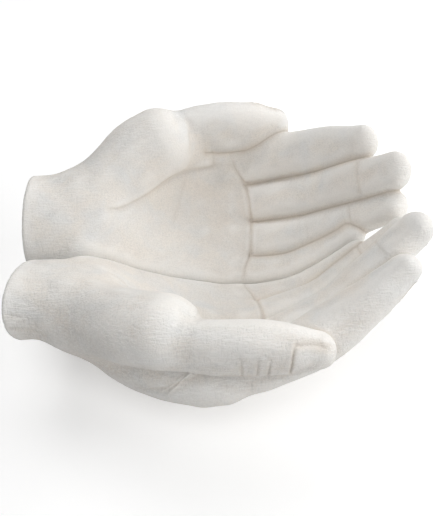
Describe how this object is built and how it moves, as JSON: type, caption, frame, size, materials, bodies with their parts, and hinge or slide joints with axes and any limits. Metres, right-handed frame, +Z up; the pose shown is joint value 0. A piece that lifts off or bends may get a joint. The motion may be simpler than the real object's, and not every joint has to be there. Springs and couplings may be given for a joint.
{
  "type": "hand sculpture",
  "caption": "Cupped-hands sculpture: two cast hands joined along the little fingers into a shallow bowl on felt pads, to stand on a shelf or hold small things.",
  "frame": {"origin": "on the surface that the sculpture stands on, under the middle of its overall box", "axes": "+X from the wrists to the fingertips, +Y from the right hand to the left hand, +Z up"},
  "size_m": [0.2462, 0.2096, 0.1106],
  "materials": {
    "plaster": "white plaster-look cast resin, matt, brushed, with a faint warm beige wash in the creases",
    "beech": "plain turned beech dowel",
    "felt": "pressed wool felt disc, self-adhesive"
  },
  "bodies": {
    "root": {"left_hand": "plaster", "right_hand": "plaster", "wrist_dowel": "beech", "knuckle_dowel": "beech", "left_front_pad": "felt", "left_back_pad": "felt", "right_front_pad": "felt", "right_back_pad": "felt"}
  },
  "joints": []
}
